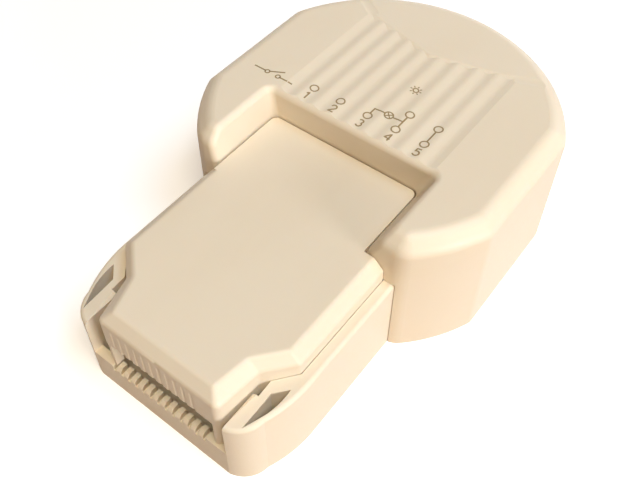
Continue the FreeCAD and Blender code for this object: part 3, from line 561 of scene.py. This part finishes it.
def numeral(number):
    """Strokes of a plain numeral in a box one high and 0.62 wide, from lines and arcs."""
    if number == 1:
        return [np.array([(0.12, 0.76), (0.36, 1.0), (0.36, 0.0)])]
    if number == 2:
        return [np.concatenate([arc(0.31, 0.70, 0.30, 170, -38), [(0.0, 0.0), (0.62, 0.0)]])]
    if number == 3:
        return [np.concatenate([arc(0.29, 0.75, 0.25, 150, -70), arc(0.29, 0.28, 0.29, 70, -150)])]
    if number == 4:
        return [np.array([(0.47, 0.0), (0.47, 1.0), (0.0, 0.30), (0.62, 0.30)])]
    return [np.concatenate([[(0.56, 1.0), (0.12, 1.0), (0.07, 0.56)],
                            arc(0.28, 0.33, 0.33, 118, -150)])]


def printed_marks():
    """Wiring diagram on the ribs: a numbered ring for each terminal, a lamp between the third
    and the fourth, a switched line on the fifth, an indicator, and a switch sign at the left."""
    line, thin = 0.24, 0.18
    column_middle, column_pitch = 0.15, 4.87
    column = [column_middle + column_pitch * (number - 3) for number in range(6)]
    ring_y, lamp_y, upper_y, radius = -3.1, -1.2, 0.68, 0.64
    label_y, label_high, label_wide = -5.75, 1.45, 0.62
    paths = []
    loops = [ring(column[number], ring_y, radius) for number in TERMINALS]
    loops += [ring(column[number], upper_y, radius) for number in (4, 5)]
    for number in TERMINALS:
        corner = (column[number] - label_wide / 2 * label_high, label_y)
        paths += [(path * label_high + corner, line) for path in numeral(number)]

    lamp_x, lamp_radius = 2.6, 0.66
    loops.append(ring(lamp_x, lamp_y, lamp_radius))
    arm = lamp_radius * math.sqrt(0.5)
    for way in (-1, 1):
        paths.append(([(lamp_x - arm, lamp_y - way * arm), (lamp_x + arm, lamp_y + way * arm)], thin))
    paths.append(([(column[3], ring_y + radius), (column[3], lamp_y), (lamp_x - lamp_radius, lamp_y)],
                  line))
    paths.append(([(lamp_x + lamp_radius, lamp_y), (column[4], lamp_y)], line))
    for number in (4, 5):
        paths.append(([(column[number], ring_y + radius), (column[number], upper_y - radius)], line))

    glow_at, glow, ray_from, ray_to = (2.75, 5.8), 0.42, 0.62, 0.95
    loops.append(ring(*glow_at, glow, 24))
    for turn in range(0, 360, 45):
        way = np.array([math.cos(math.radians(turn)), math.sin(math.radians(turn))])
        paths.append((np.array([way * ray_from, way * ray_to]) + glow_at, thin))

    sign_y, sign, sign_left, sign_right = -4.5, 0.36, -17.6, -15.55
    sign_start, sign_end, blade_tip = -20.1, -12.8, (-15.2, -3.1)
    loops += [ring(x, sign_y, sign, 24) for x in (sign_left, sign_right)]
    paths += [([(sign_start, sign_y), (sign_left - sign, sign_y)], line),
              ([(sign_right + sign, sign_y), (sign_end, sign_y)], line),
              ([(sign_left + sign * 0.8, sign_y + sign * 0.6), blade_tip], line)]

    sunk, proud, step = -0.04, 0.014, 0.12
    parts = [stroke(path, line * 0.9, head_top, sunk, proud, True) for path in loops]
    parts += [stroke(dense(path, step), wide, head_top, sunk, proud) for path, wide in paths]
    piece("printed_marks", parts, printing_ink(), False)


def wound(inner, outer, low, high, wire, centre, around=72, per_turn=7):
    """Layer of turns about an upright axis. Its radius is outer - wire/2 + the half circle of a
    wire at the height's place in its turn, and a turn's place falls by one pitch in each round."""
    turns = int((high - low) / wire)
    angle = np.arange(around) * 2 * math.pi / around
    height = np.linspace(low, high, turns * per_turn + 1)
    place = np.mod((height[None, :] - low) / wire - angle[:, None] / (2 * math.pi), 1.0) - 0.5
    radius = outer - wire / 2 + np.sqrt(np.maximum(0.0, 0.25 - place ** 2)) * wire
    radius = np.concatenate([np.full((around, 1), inner), radius, np.full((around, 1), inner)], 1)
    height = np.concatenate([[low], height, [high]])[None, :] * np.ones((around, 1))
    points = np.stack([centre[0] + radius * np.cos(angle)[:, None],
                       centre[1] + radius * np.sin(angle)[:, None], height], 2)
    return tube(points, True)


def round_windings():
    """Turns of the relay's coil and of the choke, in the space of their frame nodes."""
    enamel = enamelled_wire()
    for name, wire, inner in (("relay_winding", 0.27, 2.2), ("choke_winding", 0.42, 1.6)):
        low, high = box_mm(name)
        turns = wound(inner, (high[0] - low[0]) / 2, low[2], high[2], wire, (low + high)[:2] / 2)
        made = piece(name + "_turns", [turns], enamel)
        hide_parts(name)


def rounded_rectangle(half_x, half_y, radius, per_corner=8):
    """Corner centres plus radius times (cos, sin), a quarter turn at each corner."""
    turn = np.concatenate([np.linspace(k, k + 1, per_corner) for k in range(4)]) * math.pi / 2
    sign = np.repeat([(1, 1), (-1, 1), (-1, -1), (1, -1)], per_corner, axis=0)
    return sign * (half_x - radius, half_y - radius) + radius * np.stack([np.cos(turn), np.sin(turn)], 1)


def taped_winding():
    """Tape over the transformer's turns: rounded rectangles that swell a little at mid-height
    by 1 - t^4, with a fine step at each third, about the square tube of the bobbin."""
    tube_half, tube_round = (2.45, 2.95), 0.2
    swelling, step, tape_round = 0.16, 0.04, 0.9
    low, high = box_mm("transformer_winding")
    middle = (low + high) / 2
    half = (high - low) / 2
    t = np.linspace(-1, 1, 61)
    swell = -swelling + swelling * (1 - t ** 4) + step * (np.floor((t + 1) * 1.5) % 2)
    inner = rounded_rectangle(*tube_half, tube_round)
    outer = [rounded_rectangle(half[0] + grow, half[1] + grow, tape_round) for grow in swell]
    heights = np.concatenate([[-1], t, [1]]) * half[2] + middle[2]
    points = np.stack([np.column_stack([flat + middle[:2], np.full(len(flat), z)])
                       for flat, z in zip([inner] + outer + [inner], heights)])
    tape = tube(points.transpose(1, 0, 2), True)
    made = piece("transformer_winding_tape", [tape], wrapped_tape())
    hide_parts("transformer_winding")


def lead_places():
    """Places of the leads under the board, from the frame's boxes and the leads' half pitches."""
    pairs = (("film_capacitor", 0, 5.0), ("electrolytic_capacitor", 2.5, 0), ("choke_spool", 2.5, 0),
             ("varistor", 0, 2.5), ("fuse", 0, 2.54))
    pin_pitch, pin_row_half, pin_half, strip_half = 2.8, 4.4, 0.4, 0.5

    def middle(name):
        low, high = box_mm(name)
        return (low + high)[:2] / 2

    places = []
    for name, half_x, half_y in pairs:
        places += [middle(name) - (half_x, half_y), middle(name) + (half_x, half_y)]
    places += [middle("transformer_bobbin") + (pin_pitch * step, pin_row_half * side)
               for side in (-1, 1) for step in (-1, 0, 1)]
    low, high = box_mm("relay_pins")
    places += [np.array([x, y]) for x in (low[0] + pin_half, high[0] - pin_half)
               for y in (low[1] + pin_half, high[1] - pin_half)]
    low, high = box_mm("contact_strips")
    places += [np.array([TERMINAL_PITCH * (number - 3), high[1] - strip_half]) for number in TERMINALS]
    return np.array(places)


def soldered(place, top, tall, wide, tip, around=18):
    """Solder cone round a lead: its radius falls from wide to tip as (1 - t)^2.4 on the way down,
    and closes in a small cap. It starts just inside the board."""
    inside, centre_hole, cap_hole = 0.05, 0.05, 0.03
    foot = top - tall
    t = np.linspace(0, 1, 12)
    cone = tip + (wide - tip) * (1 - t) ** 2.4
    radius = np.concatenate([[centre_hole, wide], cone, [tip * 0.6, cap_hole]])
    height = np.concatenate([[top + inside, top + inside], top - tall * t, [foot - 0.1, foot - 0.14]])
    angle = np.arange(around) * 2 * math.pi / around
    points = np.stack([place[0] + radius[:, None] * np.cos(angle),
                       place[1] + radius[:, None] * np.sin(angle),
                       height[:, None] * np.ones(around)], 2)
    return tube(points)


def level(height):
    """Flat ground at one height."""
    return lambda x, y: np.full(np.shape(x), height)


def bent(start, end, least=0.05):
    """Corners of a track: along Y and then at 45 degrees to its end, or straight to it where it
    lies further across than along. No two corners are closer than the least."""
    across, along = abs(end - start)
    knee = np.array([start[0], end[1] - np.sign(end[1] - start[1]) * min(across, along)])
    return [start] + [after for before, after in ((start, knee), (knee, end))
                      if np.hypot(*(after - before)) > least]


def board_details():
    """Solder joints and lacquered tracks under the board, legend lines on top of it."""
    places = lead_places()
    cone_tall, cone_radius, lead_radius = 0.72, 0.82, 0.40
    joints = [soldered(place, board_low, cone_tall, cone_radius, lead_radius) for place in places]
    piece("solder_joints", joints, solder_metal())

    film, can, choke, varistor, fuse = (places[k:k + 2] for k in (0, 2, 4, 6, 8))
    bus_pin, mains_pin = places[10], places[15]
    relay, poles = places[-9:-5], places[-5:]
    routes = [  # start, end and width of each track
        (poles[0], film[0], 1.0), (poles[1], bus_pin, 1.0), (poles[2], relay[0], 1.6),
        (poles[4], relay[2], 2.0), (relay[1], choke[1], 0.9), (fuse[1], choke[0], 1.1),
        (poles[3], fuse[0], 1.4), (film[1], varistor[0], 1.1), (varistor[1], can[0], 1.1),
        (can[1], choke[0], 0.9), (mains_pin, fuse[1], 0.8),
    ]
    under, inside, step = -0.04, 0.02, 0.5
    tracks = [stroke(dense(bent(start, end), step), wide, level(board_low), under, inside)
              for start, end, wide in routes]
    piece("board_tracks", tracks, track_lacquer(), False)

    line, sunk, proud = 0.15, -0.01, 0.025
    beside, around, corner = 0.25, 0.2, 0.3
    outlines = []
    for name in ("relay_case", "film_capacitor", "transformer_core", "fuse", "bridge_rectifier",
                 "control_chip"):
        low, high = box_mm(name)
        half = (high - low)[:2] / 2 + beside
        outlines.append(rounded_rectangle(half[0], half[1], corner, 4) + (low + high)[:2] / 2)
    for name in ("electrolytic_capacitor", "choke_spool"):
        low, high = box_mm(name)
        outlines.append(ring(*(low + high)[:2] / 2, (high[0] - low[0]) / 2 + around))
    legend = [stroke(path, line, level(board_top), sunk, proud, True) for path in outlines]
    piece("board_legend", legend, legend_paint(), False)


# ---- floor, lamps and background

def lamp(name, way, size, power, colour):
    """Round soft lamp that looks at the module from the given way."""
    target = Vector(LAMPS_LOOK_AT)
    data = bpy.data.lights.new(name, "AREA")
    data.shape = "DISK"
    data.size = size
    data.energy = power
    data.color = colour
    holder = bpy.data.objects.new(name, data)
    holder.location = target + Vector(way).normalized() * LAMP_DISTANCE
    holder.rotation_euler = (target - holder.location).to_track_quat("-Z", "Y").to_euler()
    bpy.context.scene.collection.objects.link(holder)


def seen_directly(tree):
    """1 for a ray from the camera, or one that metal or glass sends on, and 0 for the rest."""
    path = tree.nodes.new("ShaderNodeLightPath")
    share = path.outputs["Is Camera Ray"]
    for kind in ("Is Glossy Ray", "Is Transmission Ray"):
        either = tree.nodes.new("ShaderNodeMath")
        either.operation = "MAXIMUM"
        tree.links.new(share, either.inputs[0])
        tree.links.new(path.outputs[kind], either.inputs[1])
        share = either.outputs[0]
    return share


def by_eye(tree, unseen, seen, output):
    """One shader for what the eye meets and another for the light that reaches the module."""
    mix = tree.nodes.new("ShaderNodeMixShader")
    for number, part in enumerate((seen_directly(tree), unseen, seen)):
        tree.links.new(part, mix.inputs[number])
    tree.links.new(mix.outputs[0], tree.nodes.new(output).inputs["Surface"])


def floor():
    """Plain floor, white to the eye, of a plain pale tone in the light that it sends back."""
    size, glow_strength = 3.0, 0.24
    mesh = bpy.data.meshes.new("floor")
    corners = [(-size, -size, 0), (size, -size, 0), (size, size, 0), (-size, size, 0)]
    mesh.from_pydata(corners, [], [(0, 1, 2, 3)])
    holder = bpy.data.objects.new("floor", mesh)
    bpy.context.scene.collection.objects.link(holder)
    made = bpy.data.materials.new("floor")
    made.use_nodes = True
    tree = made.node_tree
    tree.nodes.clear()
    tones = []
    for colour in ((0.34, 0.20, 0.09, 1), (1.0, 0.98, 0.97, 1)):
        tone = tree.nodes.new("ShaderNodeBsdfDiffuse")
        tone.inputs["Color"].default_value = colour
        tones.append(tone.outputs[0])
    glow = tree.nodes.new("ShaderNodeEmission")
    glow.inputs["Strength"].default_value = glow_strength
    pale = tree.nodes.new("ShaderNodeAddShader")
    tree.links.new(tones[1], pale.inputs[0])
    tree.links.new(glow.outputs[0], pale.inputs[1])
    by_eye(tree, tones[0], pale.outputs[0], "ShaderNodeOutputMaterial")
    holder.data.materials.append(made)


def world():
    """Surroundings, white to the eye, that send a faint warm light to the module."""
    made = bpy.data.worlds.new("world")
    made.use_nodes = True
    tree = made.node_tree
    tree.nodes.clear()
    lights = []
    for colour, strength in (((1.0, 0.45, 0.16, 1), 0.10), ((1, 1, 1, 1), 1.0)):
        light = tree.nodes.new("ShaderNodeBackground")
        light.inputs["Color"].default_value = colour
        light.inputs["Strength"].default_value = strength
        lights.append(light.outputs[0])
    by_eye(tree, *lights, "ShaderNodeOutputWorld")
    bpy.context.scene.world = made


camera()
printed_marks()
round_windings()
taped_winding()
board_details()
floor()
world()
for lamp_values in LAMPS:
    lamp(*lamp_values)
bpy.context.scene.view_settings.view_transform = "Standard"
